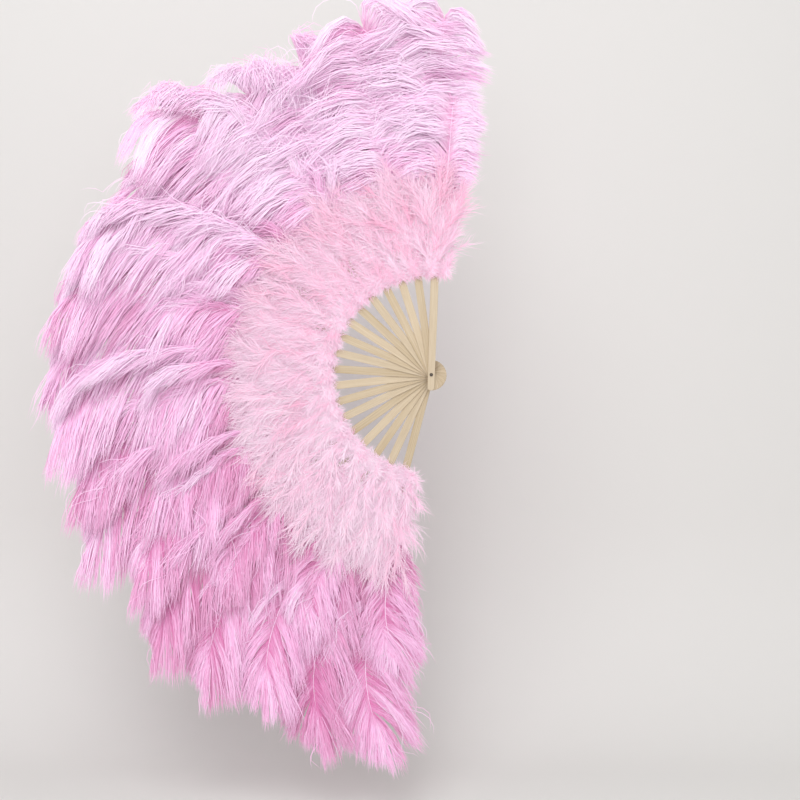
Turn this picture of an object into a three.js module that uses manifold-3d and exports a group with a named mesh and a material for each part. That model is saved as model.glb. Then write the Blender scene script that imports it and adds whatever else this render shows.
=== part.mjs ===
// Folding feather fan, open and held upright. Eighteen bamboo sticks turn on one rivet.
// Each stick carries an ostrich plume, seated in a groove at its outer end, and a marabou tuft on its face.
// Millimetres, +Z up. The fan lies in the X-Z plane, its front faces -Y and the rivet is on the Y axis.
import * as THREE from 'three';
import { mergeVertices } from 'three/addons/utils/BufferGeometryUtils.js';
import Module from 'manifold-3d';

// The fold
const STICK_COUNT = 18;
const SPREAD_ANGLE = 167; // degrees between the two guards of the open fan
const FRONT_GUARD_ANGLE = 88; // degrees from +X towards +Z
const STICK_GAP = 0.4; // running space between one stick and the next
const SEAT_GAP = 0.3; // space left between pieces that are glued, seated or riveted together

// Bamboo sticks: two guards and the ribs between them
const STICK_REACH = 315; // rivet to outer end
const STICK_TAIL = 30; // rivet to rounded inner end
const STICK_WIDTH = 15;
const TAIL_WIDTH = 13;
const TAPER_REACH = 110; // radius at which the stick has its full width
const END_CHAMFER = 3;
const RIB_THICKNESS = 2;
const GUARD_THICKNESS = 3;
const STICK_EDGE = 0.3; // bevel along every edge
const TAIL_SEGMENTS = 7;

// Rivet and its washer
const RIVET_DIAMETER = 4;
const RIVET_CLEARANCE = 0.3; // radial, in every stick and in the washer
const RIVET_HEAD_DIAMETER = 6.4;
const RIVET_HEAD_HEIGHT = 1.4;
const RIVET_HEAD_CHAMFER = 0.5;
const PEEN_DIAMETER = 5.8; // rivet end spread over the washer
const PEEN_HEIGHT = 1.2;
const PEEN_CHAMFER = 0.4;
const WASHER_DIAMETER = 9;
const WASHER_THICKNESS = 0.8;
const RIVET_SEGMENTS = 16;

// Ostrich plumes
const QUILL_SEAT = 87; // length of bare quill in the stick's groove
const QUILL_FREE = 17; // length of bare quill beyond the stick
const QUILL_WIDTH = 5;
const QUILL_THICKNESS = 1;
const VANE_THICKNESS = 0.9;
const RACHIS_THICKNESS = 1.4; // the shaft along the middle of the vane
const PLUME_REACH = 728; // rivet to tip, for a plume that points sideways
const PLUME_REACH_VARIATION = 16;
const PLUME_REACH_PHASE = 2.4; // radians from one plume's length to the next one's
const PLUME_SAG = 32; // longer by this where a plume hangs, shorter where it stands
const PLUME_DROOP = 110; // sideways bend of the tip of a level plume under its own weight
const PLUME_HALF_WIDTH = 86;
const PLUME_WIDEST = 0.74; // place of the greatest width along the vane
const PLUME_END_SHARE = 0.35; // width left at both ends of the vane
const PLUME_HANG = 0.45; // share of a level plume's width that hangs over to its lower side
const PLUME_SCALLOP = 0.14; // depth of the notches between clumps of barbs
const PLUME_CURL = 58; // the vane beyond the tuft comes forward by this at its tip
const PLUME_CURL_POWER = 1.6; // 1 leans evenly forward, more keeps the curl to the tip
const COVERED_ROWS = 3; // rows of the vane behind the tuft
const FREE_ROWS = 12; // rows of the vane beyond the tuft
const VANE_COLUMNS = 4; // strips across the vane, which keep its facets close to the turned surface

// Marabou tufts
const TUFT_START = 184; // radius at which the bare sticks end
const TUFT_OVERHANG = 115; // length of the tuft beyond the stick
const TUFT_DEPTH = 24;
const TUFT_SCALLOP = 0.12; // depth of the notches in the fluff
const TUFT_FULLNESS = 0.22; // 1 is an ellipsoid, less is blunter
const TUFT_SIDES = 8;
const TUFT_ROWS = 9;

const CUT_OVERSHOOT = 1; // cutting tools run this far past the face

const RIB_BAMBOO = { color: 0xcdb68f, roughness: 0.55, metalness: 0 };
const GUARD_BAMBOO = { color: 0xd6c29c, roughness: 0.5, metalness: 0 };
const OSTRICH = { color: 0xeeb3da, roughness: 0.9, metalness: 0 };
const MARABOU = { color: 0xf8d2e6, roughness: 0.95, metalness: 0 };
const DARK_METAL = { color: 0x4a4540, roughness: 0.35, metalness: 0.9 };

const QUILL_START = STICK_REACH - QUILL_SEAT;
const VANE_START = STICK_REACH + QUILL_FREE; // radius at which the barbs begin
const TUFT_END = STICK_REACH + TUFT_OVERHANG;
const STEP = THREE.MathUtils.degToRad(SPREAD_ANGLE / (STICK_COUNT - 1));
const LAST = STICK_COUNT - 1;
const STACK = 2 * GUARD_THICKNESS + (STICK_COUNT - 2) * RIB_THICKNESS + LAST * STICK_GAP;

const wasm = await Module();
wasm.setup();

function toSolid(geometry) {
  const bare = geometry.clone();
  bare.deleteAttribute('normal');
  bare.deleteAttribute('uv');
  const merged = mergeVertices(bare);
  const vertProperties = new Float32Array(merged.attributes.position.array);
  const triVerts = new Uint32Array(merged.index.array);
  return new wasm.Manifold(new wasm.Mesh({ numProp: 3, vertProperties, triVerts }));
}

function toGeometry(solid) {
  const { vertProperties, triVerts } = solid.getMesh();
  const geometry = new THREE.BufferGeometry();
  geometry.setAttribute('position', new THREE.BufferAttribute(vertProperties, 3));
  geometry.setIndex(new THREE.BufferAttribute(triVerts, 1));
  const flat = geometry.toNonIndexed();
  flat.computeVertexNormals();
  return flat;
}

// Moves every corner of a geometry to the place that shape(corner) gives.
function reshape(geometry, shape) {
  const position = geometry.attributes.position;
  const corner = new THREE.Vector3();
  for (let i = 0; i < position.count; i += 1) {
    corner.fromBufferAttribute(position, i);
    shape(corner);
    position.setXYZ(i, corner.x, corner.y, corner.z);
  }
  geometry.computeVertexNormals();
  return geometry;
}

function named(name, geometry, finish) {
  const mesh = new THREE.Mesh(geometry, new THREE.MeshStandardMaterial(finish));
  mesh.name = name;
  return mesh;
}

function thicknessOf(index) {
  return index === 0 || index === LAST ? GUARD_THICKNESS : RIB_THICKNESS;
}

// Middle of a stick along Y. The front guard is nearest -Y.
function depthOf(index) {
  let front = -STACK / 2;
  for (let i = 0; i < index; i += 1) {
    front += thicknessOf(i) + STICK_GAP;
  }
  return front + thicknessOf(index) / 2;
}

// In the frame of one stick, +X runs outward along it, +Z across it in the opening direction.
function stickGeometry(thickness) {
  const half = STICK_WIDTH / 2;
  const tail = TAIL_WIDTH / 2;
  const outline = new THREE.Shape();
  outline.moveTo(0, -tail);
  outline.lineTo(TAPER_REACH, -half);
  outline.lineTo(STICK_REACH - END_CHAMFER, -half);
  outline.lineTo(STICK_REACH, END_CHAMFER - half);
  outline.lineTo(STICK_REACH, half - END_CHAMFER);
  outline.lineTo(STICK_REACH - END_CHAMFER, half);
  outline.lineTo(TAPER_REACH, half);
  outline.lineTo(0, tail);
  outline.absarc(tail - STICK_TAIL, 0, tail, Math.PI / 2, 1.5 * Math.PI, false);
  const bore = new THREE.Path();
  bore.absarc(0, 0, RIVET_DIAMETER / 2 + RIVET_CLEARANCE, 0, 2 * Math.PI, true);
  outline.holes.push(bore);
  const blank = new THREE.ExtrudeGeometry(outline, {
    depth: thickness - 2 * STICK_EDGE,
    bevelThickness: STICK_EDGE,
    bevelSize: STICK_EDGE,
    bevelOffset: -STICK_EDGE,
    bevelSegments: 1,
    curveSegments: TAIL_SEGMENTS,
  });
  blank.translate(0, 0, STICK_EDGE - thickness / 2);
  blank.rotateX(Math.PI / 2);

  const start = QUILL_START - SEAT_GAP;
  const end = STICK_REACH + CUT_OVERSHOOT;
  const front = -thickness / 2 - CUT_OVERSHOOT;
  const floor = -thickness / 2 + QUILL_THICKNESS + SEAT_GAP;
  const groove = new THREE.BoxGeometry(end - start, floor - front, QUILL_WIDTH + 2 * SEAT_GAP);
  groove.translate((start + end) / 2, (front + floor) / 2, 0);
  return toGeometry(toSolid(blank).subtract(toSolid(groove)));
}

// Every plume lies on the same turned surface, flat behind the tufts and curled forward beyond them,
// so the plumes nest at any spread of the fan.
function curlAt(radius) {
  const along = Math.max(0, (radius - TUFT_END) / (PLUME_REACH - TUFT_END));
  return -PLUME_CURL * along ** PLUME_CURL_POWER;
}

function vaneShare(along) {
  const side = along < PLUME_WIDEST ? PLUME_WIDEST : 1 - PLUME_WIDEST;
  const round = Math.sqrt(Math.max(0, 1 - ((along - PLUME_WIDEST) / side) ** 2));
  return PLUME_END_SHARE + (1 - PLUME_END_SHARE) * round;
}

function plumeGeometry(index, angle) {
  const thickness = thicknessOf(index);
  const uneven = PLUME_REACH_VARIATION * Math.sin(PLUME_REACH_PHASE * index);
  const reach = PLUME_REACH + uneven - PLUME_SAG * Math.sin(angle);
  const lean = -Math.cos(angle); // 1 where the opening direction is straight down
  const droop = PLUME_DROOP * Math.sign(lean) * Math.sqrt(Math.abs(lean));

  const rows = [QUILL_START, STICK_REACH + SEAT_GAP];
  for (let i = 0; i <= COVERED_ROWS; i += 1) {
    rows.push(VANE_START + ((TUFT_END - VANE_START) * i) / COVERED_ROWS);
  }
  for (let i = 1; i <= FREE_ROWS; i += 1) {
    rows.push(TUFT_END + ((reach - TUFT_END) * i) / FREE_ROWS);
  }

  const strip = new THREE.BoxGeometry(rows.length - 1, 1, VANE_COLUMNS, rows.length - 1, 1, VANE_COLUMNS);
  return reshape(strip, (corner) => {
    const row = Math.round(corner.x + (rows.length - 1) / 2);
    const side = Math.round(corner.z) / (VANE_COLUMNS / 2);
    const back = corner.y > 0;
    const x = rows[row];
    const along = (x - VANE_START) / (reach - VANE_START);
    const bend = droop * Math.max(0, along) ** 2;
    let half = QUILL_WIDTH / 2;
    let deep = QUILL_THICKNESS;
    if (along >= 0) {
      const notch = row % 2 === 0 ? 1 - PLUME_SCALLOP : 1;
      half = PLUME_HALF_WIDTH * vaneShare(along) * notch * (1 + PLUME_HANG * side * lean);
      deep = side === 0 ? RACHIS_THICKNESS : VANE_THICKNESS;
    }
    let z = bend + side * half;
    if (along >= 0 && x <= TUFT_END) {
      const room = x * Math.tan(STEP / 2) - SEAT_GAP;
      z = THREE.MathUtils.clamp(z, -room, room);
    }
    const front = -thickness / 2 + curlAt(Math.hypot(x, z));
    corner.set(x, back ? front + deep : front, z);
  });
}

// A tuft stays inside its own stick's share of the open fan.
function tuftGeometry(index) {
  const back = -thicknessOf(index) / 2 - SEAT_GAP;
  const ball = new THREE.SphereGeometry(1, TUFT_SIDES, TUFT_ROWS);
  ball.rotateZ(-Math.PI / 2);
  return reshape(ball, (corner) => {
    const row = Math.round((TUFT_ROWS * Math.acos(THREE.MathUtils.clamp(corner.x, -1, 1))) / Math.PI);
    const x = THREE.MathUtils.lerp(TUFT_START, TUFT_END, (corner.x + 1) / 2);
    const round = Math.hypot(corner.y, corner.z);
    const notch = row % 2 === 0 ? 1 - TUFT_SCALLOP : 1;
    const full = round > 0 ? (notch * round ** TUFT_FULLNESS) / round : 0;
    const half = x * Math.tan(STEP / 2) - SEAT_GAP;
    corner.set(x, back + TUFT_DEPTH * full * Math.min(0, corner.y), half * full * corner.z);
  });
}

function turned(points) {
  return new THREE.LatheGeometry(points.map(([r, y]) => new THREE.Vector2(r, y)), RIVET_SEGMENTS);
}

const fan = new THREE.Group();
fan.name = 'feather_fan';

for (let index = 0; index < STICK_COUNT; index += 1) {
  const angle = THREE.MathUtils.degToRad(FRONT_GUARD_ANGLE) + index * STEP;
  const number = String(index + 1).padStart(2, '0');
  const isGuard = index === 0 || index === LAST;
  let stickName = `rib_${number}`;
  if (isGuard) {
    stickName = index === 0 ? 'front_guard' : 'rear_guard';
  }
  const leaf = new THREE.Group();
  leaf.name = `leaf_${number}`;
  leaf.rotation.y = -angle;
  leaf.position.y = depthOf(index);
  leaf.add(
    named(stickName, stickGeometry(thicknessOf(index)), isGuard ? GUARD_BAMBOO : RIB_BAMBOO),
    named(`plume_${number}`, plumeGeometry(index, angle), OSTRICH),
    named(`marabou_${number}`, tuftGeometry(index), MARABOU),
  );
  fan.add(leaf);
}

const shank = RIVET_DIAMETER / 2;
const head = RIVET_HEAD_DIAMETER / 2;
const peen = PEEN_DIAMETER / 2;
const headUnder = -STACK / 2 - SEAT_GAP;
const headFront = headUnder - RIVET_HEAD_HEIGHT;
const washerFront = STACK / 2 + SEAT_GAP;
const washerBack = washerFront + WASHER_THICKNESS;
const peenUnder = washerBack + SEAT_GAP;
const peenBack = peenUnder + PEEN_HEIGHT;

const rivet = turned([
  [0, headFront],
  [head - RIVET_HEAD_CHAMFER, headFront],
  [head, headFront + RIVET_HEAD_CHAMFER],
  [head, headUnder],
  [shank, headUnder],
  [shank, peenUnder],
  [peen, peenUnder],
  [peen, peenBack - PEEN_CHAMFER],
  [peen - PEEN_CHAMFER, peenBack],
  [0, peenBack],
]);
fan.add(named('rivet', rivet, DARK_METAL));

const washerBore = shank + RIVET_CLEARANCE;
const washer = turned([
  [washerBore, washerFront],
  [WASHER_DIAMETER / 2, washerFront],
  [WASHER_DIAMETER / 2, washerBack],
  [washerBore, washerBack],
  [washerBore, washerFront],
]);
fan.add(named('washer', washer, DARK_METAL));

export default fan;
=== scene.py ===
import math

import bmesh
import bpy
import numpy as np
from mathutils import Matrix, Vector


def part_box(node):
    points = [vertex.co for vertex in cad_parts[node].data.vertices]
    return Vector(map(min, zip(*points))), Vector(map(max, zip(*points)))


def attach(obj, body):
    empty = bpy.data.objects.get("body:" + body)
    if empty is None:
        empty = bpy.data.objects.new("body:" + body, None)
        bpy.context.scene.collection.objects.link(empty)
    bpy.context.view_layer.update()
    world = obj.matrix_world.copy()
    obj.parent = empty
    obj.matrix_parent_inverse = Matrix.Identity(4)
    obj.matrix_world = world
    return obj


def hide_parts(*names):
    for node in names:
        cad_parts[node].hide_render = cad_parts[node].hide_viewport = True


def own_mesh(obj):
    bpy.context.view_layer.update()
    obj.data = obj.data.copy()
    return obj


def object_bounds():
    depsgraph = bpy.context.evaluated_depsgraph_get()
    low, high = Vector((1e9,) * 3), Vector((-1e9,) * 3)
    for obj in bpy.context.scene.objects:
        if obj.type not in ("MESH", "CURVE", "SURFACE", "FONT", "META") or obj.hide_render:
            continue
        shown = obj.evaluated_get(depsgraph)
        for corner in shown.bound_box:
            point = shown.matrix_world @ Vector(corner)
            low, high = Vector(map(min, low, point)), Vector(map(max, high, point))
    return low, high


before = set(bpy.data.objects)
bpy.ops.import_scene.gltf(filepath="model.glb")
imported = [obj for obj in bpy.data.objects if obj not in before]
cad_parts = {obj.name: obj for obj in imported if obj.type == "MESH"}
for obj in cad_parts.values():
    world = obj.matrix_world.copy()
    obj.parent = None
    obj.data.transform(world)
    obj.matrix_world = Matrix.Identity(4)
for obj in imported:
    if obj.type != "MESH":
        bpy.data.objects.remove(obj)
cad_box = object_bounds()


# Rivet and washer. A dark steel rivet passes through all the sticks and is peened over a washer
# at the back. Both keep their solids and get a worn, darkened metal.
class Wire:
    """A socket of a finish; sums and products of wires add Math nodes."""

    def __init__(self, tree, socket=None):
        self.tree = tree
        self.socket = socket

    def node(self, kind, settings, sockets, output=0):
        """A new node: first its settings, then the values or links of its sockets."""
        made = self.tree.nodes.new(kind)
        for key, value in settings.items():
            if key == "stops":
                ramp = made.color_ramp.elements
                while len(ramp) < len(value):
                    ramp.new(0.5)
                for stop, (place, colour) in zip(ramp, value):
                    stop.position = place
                    stop.color = colour
            else:
                setattr(made, key, value)
        for key, value in sockets.items():
            if isinstance(value, Wire):
                self.tree.links.new(value.socket, made.inputs[key])
            else:
                made.inputs[key].default_value = value
        return Wire(self.tree, made.outputs[output])

    def maths(self, operation, first, second):
        return self.node("ShaderNodeMath", {"operation": operation}, {0: first, 1: second})

    def __add__(self, other):
        return self.maths("ADD", self, other)

    __radd__ = __add__

    def __mul__(self, other):
        return self.maths("MULTIPLY", self, other)

    __rmul__ = __mul__

    def ranged(self, low, high, first=0.0, last=1.0):
        """This wire stretched from low..high to first..last."""
        sockets = {0: self, 1: low, 2: high, 3: first, 4: last}
        return self.node("ShaderNodeMapRange", {}, sockets)

    def mixed(self, first, second):
        """The colour first where this wire is 0, second where it is 1."""
        sockets = {0: self, 6: first, 7: second}
        return self.node("ShaderNodeMix", {"data_type": "RGBA"}, sockets, 2)

    def feed(self, surface, socket):
        self.tree.links.new(self.socket, surface.inputs[socket])


def new_finish(name, **constants):
    """A material, a wire to start its nodes from, and its surface shader with constants set."""
    material = bpy.data.materials.new(name)
    material.use_nodes = True
    surface = material.node_tree.nodes["Principled BSDF"]
    for socket, value in constants.items():
        surface.inputs[socket.replace("_", " ")].default_value = value
    return material, Wire(material.node_tree), surface


def srgb(red, green, blue):
    """A colour as seen on a screen, 0 to 255, as the linear one that a shader takes."""
    parts = [c / 255 for c in (red, green, blue)]
    linear = [c / 12.92 if c <= 0.04045 else ((c + 0.055) / 1.055) ** 2.4 for c in parts]
    return (*linear, 1.0)


def dress(node, material):
    """Gives a solid of the frame its finish."""
    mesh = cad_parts[node].data
    mesh.materials.clear()
    mesh.materials.append(material)


DARK_STEEL = srgb(62, 56, 52)
WORN_STEEL = srgb(128, 118, 108)
WEAR_SCALE = 900
WEAR_RANGE = (0.5, 0.75)
STEEL_ROUGHNESS = 0.3
WEAR_ROUGHNESS = 0.25

rivet_finish, wire, surface = new_finish("dark_rivet_steel", Metallic=0.9)
place = wire.node("ShaderNodeTexCoord", {}, {}, "Object")
wear_sockets = {"Vector": place, "Scale": WEAR_SCALE, "Detail": 4.0}
wear = wire.node("ShaderNodeTexNoise", {}, wear_sockets)
wear.ranged(*WEAR_RANGE).mixed(DARK_STEEL, WORN_STEEL).feed(surface, "Base Color")
(STEEL_ROUGHNESS + WEAR_ROUGHNESS * wear).feed(surface, "Roughness")
dress("rivet", rivet_finish)
dress("washer", rivet_finish)


# Bamboo sticks: two guards and sixteen ribs, split, planed flat and bored for the rivet.
# They keep their solids. The grain runs along each stick, and every stick has its own tone.
STICKS = 18
SPREAD = math.radians(167)
FRONT_GUARD = math.radians(88)
BAMBOO_TONES = [srgb(198, 181, 153), srgb(192, 173, 141), srgb(204, 186, 157), srgb(184, 165, 132)]
TONE_STEP = 7  # tones from one stick to the next
BAMBOO_DEEP = srgb(164, 138, 106)
BAMBOO_PALE = srgb(226, 212, 190)
GRAIN_STRETCH = (9.0, 260.0, 620.0)
FIBRE_STRETCH = (26.0, 900.0, 2300.0)
CLOUD_STRETCH = (14.0, 30.0, 60.0)
GRAIN_SHIFT = 0.37  # each stick is cut from another place
STREAK_RANGE = (0.35, 0.75)
THREAD_RANGE = (0.52, 0.78)
STREAK_STRENGTH = 0.6
CLOUD_STRENGTH = 0.4
THREAD_STRENGTH = 0.65
BAMBOO_ROUGHNESS = 0.42
GRAIN_ROUGHNESS = 0.25
FIBRE_BUMP = {"Strength": 0.25, "Distance": 0.0002}

stick_names = ["front_guard"] + [f"rib_{i:02d}" for i in range(2, STICKS)] + ["rear_guard"]
stick_angles = [FRONT_GUARD + SPREAD * i / (STICKS - 1) for i in range(STICKS)]
stick_bodies = ["front_leaf"] + [f"leaf_{i:02d}" for i in range(2, STICKS + 1)]

for index, (stick, angle) in enumerate(zip(stick_names, stick_angles)):
    bamboo, wire, surface = new_finish(
        f"bamboo_{index + 1:02d}", Coat_Weight=0.12, Coat_Roughness=0.35
    )
    place = wire.node("ShaderNodeTexCoord", {}, {}, "Object")
    turn = {"Vector": place, "Rotation": (0, angle, 0), "Location": (index * GRAIN_SHIFT, 0, 0)}
    along = wire.node("ShaderNodeMapping", {}, turn)
    grain, fibre, cloud = [
        wire.node("ShaderNodeTexNoise", {}, {"Vector": stretched, "Scale": 1.0, "Detail": 3.0})
        for stretched in [
            wire.node("ShaderNodeVectorMath", {"operation": "MULTIPLY"}, {0: along, 1: stretch})
            for stretch in (GRAIN_STRETCH, FIBRE_STRETCH, CLOUD_STRETCH)
        ]
    ]
    streak = STREAK_STRENGTH * grain.ranged(*STREAK_RANGE)
    thread = THREAD_STRENGTH * fibre.ranged(*THREAD_RANGE)
    tone = BAMBOO_TONES[(index * TONE_STEP) % len(BAMBOO_TONES)]
    clouded = (CLOUD_STRENGTH * cloud).mixed(streak.mixed(tone, BAMBOO_PALE), BAMBOO_DEEP)
    thread.mixed(clouded, BAMBOO_DEEP).feed(surface, "Base Color")
    (BAMBOO_ROUGHNESS + GRAIN_ROUGHNESS * grain).feed(surface, "Roughness")
    wire.node("ShaderNodeBump", {}, {**FIBRE_BUMP, "Height": fibre}).feed(surface, "Normal")
    dress(stick, bamboo)


# Ostrich plumes. Two dyed feathers are bound to each stick, a long one and a shorter one before it.
# A feather is a tapered shaft with long soft barbs on both sides. On a level one the upper barbs
# fold over the front of the shaft, and all of them hang down like a curtain.
OSTRICH_DEEP = srgb(224, 124, 182)
OSTRICH_MIDDLE = srgb(253, 196, 237)
OSTRICH_PALE = srgb(255, 231, 252)
# Painted highlight towards each barb's tip, painted shade at its root
OSTRICH_TIP_HIGHLIGHT = srgb(255, 228, 251)
TIP_PAINTED_HIGHLIGHT = 0.45
PAINTED_SHADE_SHARE = 0.35  # share of a barb, from its root, that is darkened as painted shade
ROOT_PAINTED_SHADE = 0.55

# The shaft: metres from the rivet, radians of bend, and the unevenness from plume to plume
STICK_REACH = 0.315
VANE_START = 0.332
QUILL_START = 0.24
PLUME_REACH = 0.728
REACH_VARIATION = 0.016
REACH_PHASE = 2.4
PLUME_SAG = 0.032
TIP_ROOM = 0.080  # barbs go on past the shaft's end by this
UPRIGHT_TIP_ROOM = -0.050
HANGING_TIP_ROOM = 0.030
LENGTH_TRIM = (0, -18, -24, -50, 25, -14, -12, 26, 18, 12, 16, 14, -12, 34, 8, 4, 8, 12)  # mm
PLUME_NOD = 1.1
LAST_NOD = 0.65
EVEN_NOD = 0.3  # share of the nod that is spread along the shaft, the rest is near its end
NOD_SHORTENING = 0.12
PLUME_ARCH = 0.014
PLUME_CURL = 0.050
CURL_VARIATION = 0.5
CURL_PHASE = 2.2
SHAFT_STEPS = 28
SHAFT_PROUD = 0.004
SHAFT_GIRTH = ((0, 0.3, 1), (0.0024, 0.0019, 0.0005))
SHAFT_TONE = 0.75

# For both feathers of a plume: share of its reach, turn aside, lift off the stick, number of barbs,
# length of the longest, and waviness
FEATHERS = ((1.0, 0.0, 0.0, 1440, 0.205, 0.15), (0.78, 0.045, 0.008, 900, 0.150, 0.26))
FIRST_LENGTH = 0.5  # the front guard's plume is narrower on its outer side
LAST_OPENING = 1.4  # the rear guard's plume is wider on its outer side
RIDGES = {6: 0.5, 9: 1.0, 11: 0.9, 13: 0.8}  # plumes whose upper barbs stand up in a ridge
# Painted light: plumes that point up are paler, those that point down deeper, as if lit from above
PAINTED_LIGHT_BY_RISE = ((-1, -0.5, 0, 0.6, 1), (0.24, 0.2, 0.48, 0.56, 0.76))
SHADE_VARIATION = 0.1
SHADE_PHASE = 0.8

# Barbs, by their place along the shaft from root (0) to tip (1)
LOWER_OPENING = ((0, 0.3, 0.75, 0.94, 1), (1.2, 1.05, 0.9, 0.8, 0.05))
UPPER_OPENING = ((0, 0.3, 0.75, 0.92, 1), (0.8, 0.85, 0.8, 0.65, 0.05))
STANDING_OPENING = ((0.6, 0.9, 1), (0, 0.27, 0.45))
LENGTH_ALONG = ((0, 0.15, 0.4, 0.85, 1), (0.5, 0.8, 1.0, 1.0, 0.75))
UPPER_SHORTENING = ((0.5, 1), (0, 0.55))
STIFF_ALONG = ((0, 0.6, 1), (0.7, 0.8, 0.85))
LIMP_END = ((0.55, 0.95), (0.0, 1.0))
FALLING_END = ((0.55, 0.9), (0.0, 1.0))
FORWARD_ALONG = ((0, 0.25), (0.1, 1))
# painted shade: barbs near the stick are deeper
NEAR_STICK_PAINTED_SHADE = ((0, 0.35), (0.45, 0))
ROOT_CROWDING = 1.6
LOWER_FALL = 0.58
UPPER_FALL = 0.37
FALL_RANGE = (0.2, 0.98)
FORWARD_LEAN = 0.4
SIDE_PULL = 0.9  # barbs of a standing feather open to both sides
CLUMP = 6  # barbs in a clump
LOCK = 6  # clumps in a lock
CLUMP_DRAW = (0.1, 0.4)
STRAYS = 0.02
STRAY_WAVE = 0.35
BARB_KINK = 0.0011
BARB_RADIUS = 0.0008
BARB_PLACES = np.array((0, 0.14, 0.32, 0.53, 0.76, 1.0))
BARB_TAPER = ((0, 0.3, 0.8, 1), (0.7, 1.0, 0.8, 0.2))

# Wisps: single curly barbs that stand loose from the rest
WISPS = 6
MORE_WISPS = 24
WISP_START = 0.3
WISP_WAVE = 0.7
WISP_RIPPLE = 8.0
WISP_RADIUS = 0.0007
WISP_PLACES = np.linspace(0, 1, 11)
WISP_TAPER = ((0, 0.8, 1), (1.0, 0.8, 0.3))

# Strands: what every barb is made of
STRAND_FLATNESS = 0.18
STRAND_TWIST = 0.25
STRAND_LIE = 0.1
BARB_RIPPLE = 4.5
TONE_RANGE = (0.02, 0.98)
TONE_SHIFT = 0.012  # from one edge of a strand to the other
MAP_EDGE = 0.02
SOFT_LIMIT = 0.7  # share of the room in depth that strands use freely
DEPTH_ROOM = 0.010
DOWN = np.array((0.0, 0.0, -1.0))
BACKWARD = np.array((0.0, 1.0, 0.0))
rng = np.random.default_rng(20)


def strand_pattern(steps):
    """One straight strand: a three-sided tube that ends in a point, to be laid along every barb."""
    shape = bmesh.new()
    ring = bmesh.ops.create_circle(shape, segments=3, radius=1.0, cap_ends=False)["verts"]
    root = shape.faces.new(ring)
    root.normal_flip()
    for step in range(steps):
        edges = [e for e in shape.edges if all(abs(v.co.z - step) < 1e-6 for v in e.verts)]
        grown = bmesh.ops.extrude_edge_only(shape, edges=edges)["geom"]
        tip = [v for v in grown if isinstance(v, bmesh.types.BMVert)]
        bmesh.ops.translate(shape, verts=tip, vec=(0, 0, 1))
    bmesh.ops.pointmerge(shape, verts=tip, merge_co=(0, 0, steps))
    shape.normal_update()
    bmesh.ops.recalc_face_normals(shape, faces=shape.faces)
    if shape.calc_volume(signed=True) < 0:
        bmesh.ops.reverse_faces(shape, faces=shape.faces)
    shape.verts.index_update()
    corners = np.array([v.co for v in shape.verts])
    faces = [[v.index for v in f.verts] for f in shape.faces]
    shape.free()
    return corners, faces


def unit(vectors):
    return vectors / np.maximum(np.linalg.norm(vectors, axis=-1, keepdims=True), 1e-9)


def lay_strands(paths, radii, tones):
    """Corners, faces and colour map of flat strands along paths (strands, steps + 1, 3)."""
    steps = paths.shape[1] - 1
    pattern, faces = strand_pattern(steps)
    ring = np.rint(pattern[:, 2]).astype(int)
    tangent = unit(np.gradient(paths, axis=1))
    flat = unit(np.cross(tangent, BACKWARD + STRAND_LIE * DOWN))
    raised = np.cross(tangent, flat)
    twist = rng.normal(0, STRAND_TWIST, len(paths))[:, None, None]
    side = np.cos(twist) * flat + np.sin(twist) * raised
    over = np.cos(twist) * raised - np.sin(twist) * flat
    wide = pattern[:, 0][None, :, None] * side[:, ring]
    thick = STRAND_FLATNESS * pattern[:, 1][None, :, None] * over[:, ring]
    corners = paths[:, ring] + radii[:, ring, None] * (wide + thick)
    loops = np.concatenate([np.array(f) for f in faces])
    totals = np.array([len(f) for f in faces])
    along = MAP_EDGE + (1 - 2 * MAP_EDGE) * pattern[:, 2] / steps
    shift = TONE_SHIFT * pattern[:, 0]
    colour_map = np.empty((len(paths), len(loops), 2), np.float32)
    colour_map[:, :, 0] = along[loops]
    colour_map[:, :, 1] = np.clip(tones[:, None] + shift[loops], 0.01, 0.99)
    return corners, loops, totals, colour_map


def join_strands(name, bundles, finish):
    """One mesh object from several bundles of strands."""
    corners, loops, totals, colours, base = [], [], [], [], 0
    for points, loop, total, colour in [lay_strands(*bundle) for bundle in bundles]:
        count, per = points.shape[:2]
        corners.append(points.reshape(-1, 3))
        loops.append((base + loop[None] + per * np.arange(count)[:, None]).reshape(-1))
        totals.append(np.tile(total, count))
        colours.append(colour.reshape(-1))
        base += count * per
    corners = np.concatenate(corners).astype(np.float32)
    loops = np.concatenate(loops).astype(np.int32)
    totals = np.concatenate(totals)
    starts = np.concatenate(([0], np.cumsum(totals)[:-1])).astype(np.int32)
    mesh = bpy.data.meshes.new(name)
    mesh.vertices.add(len(corners))
    mesh.vertices.foreach_set("co", corners.reshape(-1))
    mesh.loops.add(len(loops))
    mesh.loops.foreach_set("vertex_index", loops)
    mesh.polygons.add(len(starts))
    mesh.polygons.foreach_set("loop_start", starts)
    mesh.update(calc_edges=True)
    mesh.shade_flat()
    mesh.uv_layers.new(name="OFBake").uv.foreach_set("vector", np.concatenate(colours))
    mesh.materials.append(finish)
    piece = bpy.data.objects.new(name, mesh)
    bpy.context.scene.collection.objects.link(piece)
    return piece


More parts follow.
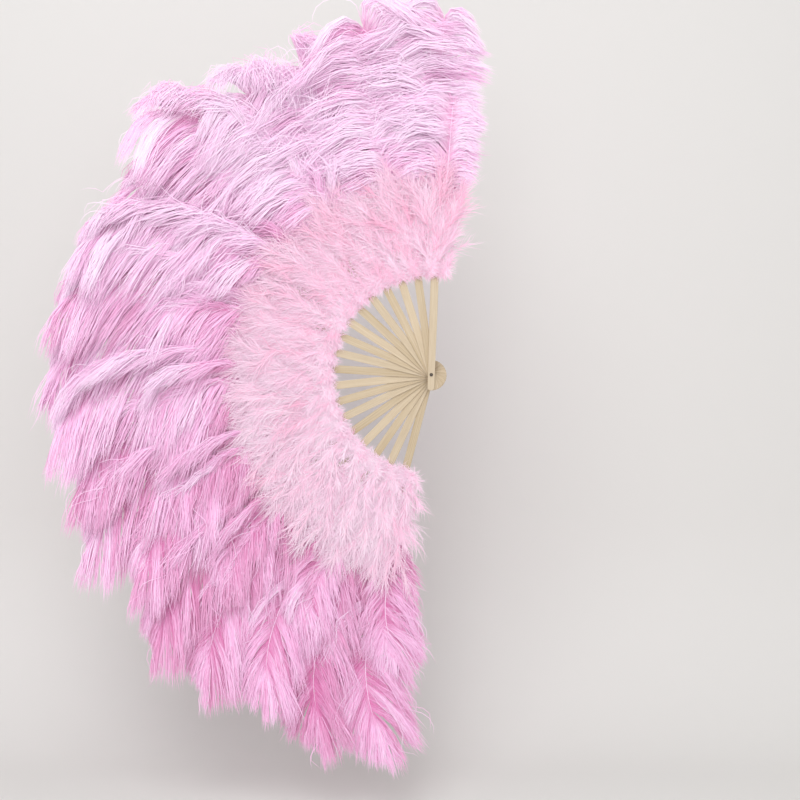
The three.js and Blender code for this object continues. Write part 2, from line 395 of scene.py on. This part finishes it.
def feather_finish(name, deep, middle, pale, tip):
    """Own dyed tone per barb, with painted shade at the root and a painted highlight at the tip."""
    finish, wire, surface = new_finish(
        name, Roughness=0.75, Sheen_Weight=0.25, Sheen_Roughness=0.5
    )
    mapped = wire.node("ShaderNodeUVMap", {"uv_map": "OFBake"}, {})
    along = wire.node("ShaderNodeSeparateXYZ", {}, {0: mapped}, 0)
    tone = wire.node("ShaderNodeSeparateXYZ", {}, {0: mapped}, 1)
    stops = [(0.0, deep), (0.5, middle), (1.0, pale)]
    dyed = wire.node("ShaderNodeValToRGB", {"stops": stops}, {0: tone})
    # Painted highlight: paler towards the tip. Painted shade: deeper towards the root.
    paler = (TIP_PAINTED_HIGHLIGHT * along * along).mixed(dyed, tip)
    along.ranged(0.0, PAINTED_SHADE_SHARE, ROOT_PAINTED_SHADE, 0.0).mixed(paler, deep).feed(surface, "Base Color")
    return finish


def turned_surface(radius, curl):
    """How far a feather leans back, and then curls forward, at a distance from the rivet."""
    share = np.maximum(0, (radius - STICK_REACH) / (PLUME_REACH - STICK_REACH))
    return PLUME_ARCH * 4 * share * (1 - share) - curl * share**3


def shaft_path(angle, front, lift, curl, reach, start):
    """Points along a feather's shaft. A level one nods over, most of all near its end."""
    below = min(1.0, 3 - 2 * angle / math.pi)  # less nod for a feather that points down
    nod = PLUME_NOD * math.sqrt(max(0.0, -math.cos(angle))) * below
    nod += LAST_NOD * max(0.0, -math.sin(angle)) ** 3
    length = (reach - VANE_START) * (1 + NOD_SHORTENING * (nod / PLUME_NOD) ** 2)
    outward = np.linspace(start, VANE_START + length, SHAFT_STEPS + 1)
    share = np.clip((outward - VANE_START) / length, 0, 1)
    turned = angle + nod * (EVEN_NOD * share + (1 - EVEN_NOD) * share**4)
    course = np.stack((np.cos(turned), 0 * turned, np.sin(turned)), axis=1)
    strides = np.diff(outward)[:, None] * (course[1:] + course[:-1]) / 2
    first = start * course[:1]
    points = np.concatenate((first, first + np.cumsum(strides, axis=0)))
    points[:, 1] = front - lift * np.minimum(1, 4 * share)
    points[:, 1] += turned_surface(np.hypot(points[:, 0], points[:, 2]), curl)
    return points


def at_share(points, share):
    """Points and directions on a path at shares of its length."""
    place = share * (len(points) - 1)
    low = np.clip(place.astype(int), 0, len(points) - 2)
    rest = (place - low)[:, None]
    smooth = np.gradient(points, axis=0)
    spot = points[low] * (1 - rest) + points[low + 1] * rest
    return spot, unit(smooth[low] * (1 - rest) + smooth[low + 1] * rest)


def grown_paths(root, heading, length, fall, pull, stiff, places, wave, ripple=BARB_RIPPLE):
    """Strands that set out along heading and give way to pull, fall of it, by the share stiff."""
    paths = np.empty((len(root), len(places), 3))
    paths[:, 0] = root
    phase = rng.uniform(0, 2 * math.pi, (len(root), 3))
    for step, (here, there) in enumerate(zip(places, places[1:])):
        middle = (here + there) / 2
        bent = np.minimum(1.0, middle / stiff)
        hang = (fall * bent * bent * (3 - 2 * bent))[:, None]
        waver = wave * middle * np.sin(phase + ripple * middle) * (1, 0.4, 1)
        course = unit(heading * (1 - hang) + pull * hang + waver)
        paths[:, step + 1] = paths[:, step] + course * (length * (there - here))[:, None]
    return paths


def plume_barbs(shaft, angle, barbs, longest, wave, painted_light_tone, inner, outer, ridge):
    """Barbs and wisps of one feather. Small clumps of barbs draw together at their tips."""
    lean = -math.cos(angle)
    upright = max(0.0, math.sin(angle))
    hanging = max(0.0, -math.sin(angle))

    # Clumps grow on both sides in turn. upper is 1 for those above a level shaft.
    clumps = barbs // CLUMP
    order = np.arange(clumps)
    side = np.where(order % 2 == 0, 1.0, -1.0)
    lock = (order // (2 * LOCK)) * 2 + order % 2
    locks = lock.max() + 1
    centre = np.clip((order + rng.uniform(-0.6, 0.6, clumps)) / (clumps - 1), 0, 1)
    centre = 1 - (1 - centre) ** ROOT_CROWDING
    upper = np.clip(-side * lean, 0, 1)

    def uneven(by_lock, by_clump):
        return rng.normal(0, by_lock, locks)[lock] + rng.normal(0, by_clump, clumps)

    # Each clump's angle to the shaft
    lower_opening = np.interp(centre, *LOWER_OPENING)
    opening = lower_opening + (np.interp(centre, *UPPER_OPENING) - lower_opening) * upper
    opening *= 1 - 0.2 * upright - 0.2 * hanging
    opening += upright * np.interp(centre, *STANDING_OPENING)
    opening *= np.where(side > 0, outer, 1.0)
    opening += uneven(0.05, 0.04)

    # Its length, and how much of the way it falls over
    stiff = np.interp(centre, *STIFF_ALONG)
    reach = longest * np.interp(centre, *LENGTH_ALONG)
    reach *= rng.uniform(0.9, 1.06, locks)[lock] * rng.uniform(0.92, 1.06, clumps)
    reach *= np.where(side < 0, inner, 1.0) * (1 - 0.25 * hanging)
    reach *= 1 - upper * np.interp(centre, *UPPER_SHORTENING)
    end = np.interp(centre, *FALLING_END) * (1 - hanging)
    fall = LOWER_FALL + UPPER_FALL * upper - 0.08 * hanging
    fall = np.maximum(fall, 0.9 * end * np.maximum(upright, 0.9 * abs(lean)))
    fall = np.clip(fall + uneven(0.03, 0.02), *FALL_RANGE)

    # How far it leans out to the front, and where its weight pulls it
    forward = (FORWARD_LEAN + 0.1 * upper) * (1 - 0.5 * hanging - 0.4 * upright)
    forward = forward * np.interp(centre, *FORWARD_ALONG)
    proud = uneven(0.07, 0.03)
    limp = np.interp(centre, *LIMP_END)[:, None]
    crest = ridge * upper * (1 - 0.6 * limp[:, 0])
    forward = forward + proud + 0.3 * crest
    course = at_share(shaft, centre)[1]
    swept = unit((0.8 - 0.6 * limp) * course + (0.6 + 0.4 * limp) * DOWN)
    hung = unit(DOWN + 0.4 * max(0.0, lean) * course)
    aside = np.stack((-course[:, 2], 0 * centre, course[:, 0]), axis=1)
    pull = hung + (swept - hung) * upper[:, None] + (0.2 - 0.25 * crest)[:, None] * BACKWARD
    pull += (SIDE_PULL * upright**5 * side)[:, None] * aside
    pull += (rng.normal(0, 1, (locks, 3)) * (0.06, 0.04, 0))[lock]

    # Its tone: painted shade near the stick and on barbs that lie back.
    # Painted highlight where they stand proud, on upper barbs and on ridges.
    tone = painted_light_tone - np.interp(centre, *NEAR_STICK_PAINTED_SHADE) + 2.0 * proud + 0.12 * upper + 0.08 * crest
    tone += uneven(0.05, 0.08)

    def headings(place, which, spread):
        spot, heading = at_share(shaft, place)
        across = np.stack((-heading[:, 2], 0 * place, heading[:, 0]), axis=1)
        fan = opening[which] + rng.normal(0, spread, len(which))
        course = np.cos(fan)[:, None] * heading + (np.sin(fan) * side[which])[:, None] * across
        out = forward[which] + rng.normal(0, 0.5 * spread, len(which))
        return spot, unit(course - out[:, None] * BACKWARD)

    which = np.repeat(order, CLUMP)
    own = np.clip(centre[which] + rng.uniform(-1.3, 1.3, len(which)) / clumps, 0, 1)
    spot, course = headings(own, which, 0.05)
    stray = rng.uniform(0, 1, len(which)) < STRAYS
    length = reach[which] * rng.uniform(0.86, 1.06, len(which))
    waver = np.where(stray, STRAY_WAVE, wave)[:, None]
    loose = grown_paths(
        spot, course, length, fall[which], pull[which], stiff[which], BARB_PLACES, waver
    )
    spot, course = headings(centre, order, 0.0)
    guide = grown_paths(spot, course, reach, fall, pull, stiff, BARB_PLACES, wave)
    gather = np.where(stray, 0.0, rng.uniform(*CLUMP_DRAW, len(which)))[:, None, None]
    paths = loose + (guide[which] - loose) * (gather * BARB_PLACES[None, :, None] ** 1.5)
    paths[:, 1:] += rng.normal(0, BARB_KINK, paths[:, 1:].shape)
    taper = np.interp(BARB_PLACES, *BARB_TAPER)
    radii = BARB_RADIUS * taper[None] * rng.uniform(0.6, 1.25, len(which))[:, None]
    tones = np.clip(tone[which] + rng.normal(0, 0.1, len(which)) + 0.2 * stray, *TONE_RANGE)

    wisps = round(WISPS + MORE_WISPS * (upright + hanging) ** 2)
    which = rng.choice(order[centre > WISP_START], wisps)
    spot, course = headings(centre[which], which, 0.2)
    length = reach[which] * rng.uniform(0.9, 1.15, wisps)
    bend = (0.85 * fall[which], pull[which], stiff[which])
    curls = grown_paths(spot, course, length, *bend, WISP_PLACES, WISP_WAVE, WISP_RIPPLE)
    thin = WISP_RADIUS * np.interp(WISP_PLACES, *WISP_TAPER)[None].repeat(wisps, axis=0)
    return (paths, radii, tones), (curls, thin, np.clip(tone[which] + 0.25, *TONE_RANGE))


def within(bundle, low, high):
    """Keeps strands between the front and the back that the solids allow."""
    paths, radii, tones = bundle
    middle, half = (low + high) / 2, (high - low) / 2
    off = (paths[:, :, 1] - middle) / half
    rest = 1 - SOFT_LIMIT
    pressed = np.sign(off) * (SOFT_LIMIT + rest * np.tanh((np.abs(off) - SOFT_LIMIT) / rest))
    paths[:, :, 1] = middle + half * np.where(np.abs(off) > SOFT_LIMIT, pressed, off)
    return paths, radii, tones


# Dyed tone with painted shade at the roots and a painted highlight at the tips
ostrich = feather_finish("dyed_ostrich_painted_light", OSTRICH_DEEP, OSTRICH_MIDDLE, OSTRICH_PALE, OSTRICH_TIP_HIGHLIGHT)
depth_low = cad_box[0][1] - DEPTH_ROOM
depth_high = cad_box[1][1] + DEPTH_ROOM
girth = np.interp(np.linspace(0, 1, SHAFT_STEPS + 1), *SHAFT_GIRTH)[None]
tip_rooms = ((-1, 0, 1), (HANGING_TIP_ROOM, 0, UPRIGHT_TIP_ROOM))

for index, (stick, angle, body) in enumerate(zip(stick_names, stick_angles, stick_bodies)):
    low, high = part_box(stick)
    front = low[1] + 0.0007
    rise = math.sin(angle)
    reach = PLUME_REACH + REACH_VARIATION * math.sin(REACH_PHASE * index) - PLUME_SAG * rise
    reach -= TIP_ROOM + np.interp(rise, *tip_rooms)
    reach += 0.001 * LENGTH_TRIM[index]
    # Painted light: paler for plumes that point up, deeper for those that point down.
    painted_light_tone = np.interp(rise, *PAINTED_LIGHT_BY_RISE)
    painted_light_tone += SHADE_VARIATION * math.sin(CURL_PHASE * index + SHADE_PHASE)
    curl = PLUME_CURL * (1 + CURL_VARIATION * math.sin(CURL_PHASE * index))
    inner = FIRST_LENGTH if index == 0 else 1.0
    outer = LAST_OPENING if index == STICKS - 1 else 1.0
    ridge = RIDGES.get(index, 0.0)
    bundles = []
    for share, twist, lift, barbs, longest, wave in FEATHERS:
        tilt = angle + twist * (1 if index % 2 else -1)
        shaft = shaft_path(tilt, front, lift, curl, reach * share, VANE_START)
        for hair in plume_barbs(shaft, tilt, barbs, longest, wave, painted_light_tone, inner, outer, ridge):
            bundles.append(within(hair, depth_low, depth_high))
        whole = shaft_path(tilt, front, lift + SHAFT_PROUD, curl, reach * share, QUILL_START)
        bundles.append((whole[None], girth, np.array([SHAFT_TONE])))
    plume = join_strands(f"ostrich_plume_{index + 1:02d}", bundles, ostrich)
    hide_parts(f"plume_{index + 1:02d}")
    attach(plume, body)
    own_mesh(plume)


# Marabou tufts. Small downy feathers are glued over each stick from where the bare bamboo ends,
# in overlapping rows that point outward, with a thinner cover behind the stick.
MARABOU_DEEP = srgb(251, 182, 213)
MARABOU_MIDDLE = srgb(252, 216, 238)
MARABOU_PALE = srgb(253, 233, 247)
TUFT_START = 0.188
TUFT_END = 0.328
HANGING_TUFT = 0.025  # a hanging tuft reaches further by this
FRONT_DOWN = (60, 56)  # feathers, and barbs in each
BACK_DOWN = (20, 34)
EDGE_ROW = 0.2  # share of the feathers that fringe the edge towards the bare bamboo
EDGE_SPREAD = 2.6
SPINE = (0.03, 0.06)
SPINE_ALONG = ((0, 0.3, 1), (0.7, 1.0, 1.2))
EDGE_SPINE = 0.5
RAISED = (0.001, 0.006)
RAISED_ALONG = ((0, 1), (1, 2.4))
SPINE_RISE = 0.08
DOWN_SPREAD = 0.42
DOWN_LENGTH = 0.046
DOWN_LENGTH_ALONG = ((0, 0.04, 0.2, 1), (0.4, 0.55, 0.9, 1.2))
DOWN_FALL = 0.22
DOWN_STIFF = 0.8
DOWN_WAVE = 0.4
DOWN_RADIUS = 0.00048
DOWN_PLACES = np.array((0, 0.5, 1.0))
DOWN_TAPER = ((0, 0.5, 1), (0.8, 1.0, 0.3))
DOWN_TONE = 0.55
DOWN_TONE_BY_RISE = 0.16
SECTOR = math.tan(SPREAD / (STICKS - 1) / 2)
SECTOR_COVER = 0.85
# Down gets the same painted shade at the root and painted highlight at the tip
marabou = feather_finish("marabou_down", MARABOU_DEEP, MARABOU_MIDDLE, MARABOU_PALE, MARABOU_PALE)


def down_feathers(angle, face, outward, feathers, barbs):
    """Barbs of the small feathers on one face of a stick; outward is -1 in front and 1 behind."""
    along = np.array((math.cos(angle), 0, math.sin(angle)))
    across = np.array((-math.sin(angle), 0, math.cos(angle)))

    # Where each feather is glued, how it lies and its tone
    order = np.arange(feathers)
    row = round(EDGE_ROW * feathers)
    edge = order < row
    rows = (order - row + 0.5) / (feathers - row)
    share = np.where(edge, rng.uniform(0, 0.04, feathers), rows)
    end = TUFT_END + HANGING_TUFT * max(0.0, -math.sin(angle))
    place = TUFT_START + (end - TUFT_START) * share
    aside = np.where(edge, 2 * order / (row - 1) - 1, rng.uniform(-1, 1, feathers))
    swing = 0.5 * aside + rng.normal(0, 0.25, feathers)
    raised = rng.uniform(*RAISED, feathers) * np.interp(share, *RAISED_ALONG)
    spine = rng.uniform(*SPINE, feathers)
    spine *= np.where(edge, EDGE_SPINE, np.interp(share, *SPINE_ALONG))
    tone = DOWN_TONE - DOWN_TONE_BY_RISE * math.sin(angle) + rng.normal(0, 0.05)
    tone = tone + rng.normal(0, 0.14, feathers)

    # Where each of its barbs starts, and which way it grows
    which = np.repeat(order, barbs)
    count = len(which)
    up = rng.uniform(0, 1, count) * spine[which]
    opening = rng.normal(0, DOWN_SPREAD, count)
    opening = np.where(edge[which], rng.uniform(-EDGE_SPREAD, EDGE_SPREAD, count), opening)
    fan = swing[which] + opening
    course = np.cos(fan)[:, None] * along + np.sin(fan)[:, None] * across
    off = outward * np.abs(rng.normal(0.02, 0.06, count))
    course = unit(course + off[:, None] * BACKWARD)
    main = np.cos(swing)[:, None] * along + np.sin(swing)[:, None] * across
    offset = SECTOR_COVER * SECTOR * place * aside
    root = (place[:, None] * along + offset[:, None] * across)[which] + up[:, None] * main[which]
    root[:, 1] = face + outward * (raised[which] + SPINE_RISE * up)

    length = DOWN_LENGTH * rng.uniform(0.5, 1.2, count)
    length *= np.interp(share[which], *DOWN_LENGTH_ALONG)
    fall = np.full(count, DOWN_FALL)
    paths = grown_paths(root, course, length, fall, DOWN, DOWN_STIFF, DOWN_PLACES, DOWN_WAVE)
    taper = np.interp(DOWN_PLACES, *DOWN_TAPER)
    radii = DOWN_RADIUS * taper[None] * rng.uniform(0.7, 1.3, count)[:, None]
    tones = np.clip(tone[which] + rng.normal(0, 0.12, count), *TONE_RANGE)
    return within((paths, radii, tones), depth_low, depth_high)


for index, (stick, angle, body) in enumerate(zip(stick_names, stick_angles, stick_bodies)):
    low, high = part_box(stick)
    bundles = [
        down_feathers(angle, low[1], -1, *FRONT_DOWN),
        down_feathers(angle, high[1], 1, *BACK_DOWN),
    ]
    tuft = join_strands(f"marabou_tuft_{index + 1:02d}", bundles, marabou)
    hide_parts(f"marabou_{index + 1:02d}")
    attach(tuft, body)
    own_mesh(tuft)


# Paper sweep: pale paper behind and under the fan, bent up from the floor in one curve.
# It shows on its front only, so that the fan can also be looked at from behind.
SWEEP_FLOOR = -0.84
SWEEP_BACK = 0.75
SWEEP_RADIUS = 0.5
SWEEP_STEPS = 12
SWEEP_REACH = 4.0  # to the front, to both sides and up
PAPER = srgb(226, 224, 222)

paper, wire, surface = new_finish("sweep_paper", Roughness=0.9, Base_Color=PAPER)
behind = wire.node("ShaderNodeNewGeometry", {}, {}, "Backfacing")
clear = wire.node("ShaderNodeBsdfTransparent", {}, {})
shown = Wire(wire.tree, surface.outputs[0])
one_sided = wire.node("ShaderNodeMixShader", {}, {0: behind, 1: shown, 2: clear})
one_sided.feed(wire.tree.nodes["Material Output"], "Surface")

profile = [(-SWEEP_REACH, SWEEP_FLOOR)]
for step in range(SWEEP_STEPS + 1):
    turn = math.pi / 2 * step / SWEEP_STEPS
    back = SWEEP_BACK - SWEEP_RADIUS + SWEEP_RADIUS * math.sin(turn)
    profile.append((back, SWEEP_FLOOR + SWEEP_RADIUS * (1 - math.cos(turn))))
profile.append((SWEEP_BACK, SWEEP_REACH))
sweep = bmesh.new()
line = [sweep.verts.new((-SWEEP_REACH, y, z)) for y, z in profile]
edges = [sweep.edges.new(pair) for pair in zip(line, line[1:])]
grown = bmesh.ops.extrude_edge_only(sweep, edges=edges)["geom"]
far_side = [v for v in grown if isinstance(v, bmesh.types.BMVert)]
bmesh.ops.translate(sweep, verts=far_side, vec=(2 * SWEEP_REACH, 0, 0))
sweep.normal_update()
bmesh.ops.recalc_face_normals(sweep, faces=sweep.faces)
sweep.normal_update()
if sum(face.normal.z for face in sweep.faces) < 0:
    bmesh.ops.reverse_faces(sweep, faces=sweep.faces)
sheet_mesh = bpy.data.meshes.new("paper_sweep")
sweep.to_mesh(sheet_mesh)
sweep.free()
sheet_mesh.shade_smooth()
sheet_mesh.materials.append(paper)
backdrop = bpy.data.objects.new("paper_sweep", sheet_mesh)
bpy.context.scene.collection.objects.link(backdrop)


# Soft lamps and the camera. One lamp is high in front, one level with the fan, in a pale room.
# The camera stands straight in front, with the rivet a little right of and above the middle
# of a frame of 800 by 800.
LAMPS = {  # place, the point it faces, width and power
    "key": ((-0.6, -2.4, 2.4), (-0.3, 0, 0.3), 2.0, 44),
    "front": ((0.0, -3.3, 0.7), (-0.3, 0, 0.1), 2.2, 38),
}
ROOM_LIGHT = 0.61
CAMERA_PLACE = (-0.0595, -2.2, -0.048)
CAMERA_LENS = 51.6
CAMERA_SENSOR = 36

for name, (place, target, size, power) in LAMPS.items():
    lamp_data = bpy.data.lights.new(name, "AREA")
    lamp_data.shape = "DISK"
    lamp_data.size = size
    lamp_data.energy = power
    lamp = bpy.data.objects.new(name, lamp_data)
    lamp.location = place
    facing = Vector(target) - Vector(place)
    lamp.rotation_euler = facing.to_track_quat("-Z", "Y").to_euler()
    bpy.context.scene.collection.objects.link(lamp)

world = bpy.data.worlds.new("studio")
bpy.context.scene.world = world
world.use_nodes = True
room = world.node_tree.nodes["Background"]
room.inputs["Color"].default_value = (1, 1, 1, 1)
room.inputs["Strength"].default_value = ROOM_LIGHT

camera_data = bpy.data.cameras.new("camera")
camera_data.sensor_width = CAMERA_SENSOR
camera_data.lens = CAMERA_LENS
camera = bpy.data.objects.new("camera", camera_data)
camera.location = CAMERA_PLACE
camera.rotation_euler = (math.pi / 2, 0, 0)
bpy.context.scene.collection.objects.link(camera)
bpy.context.scene.camera = camera
bpy.context.scene.view_settings.view_transform = "Standard"
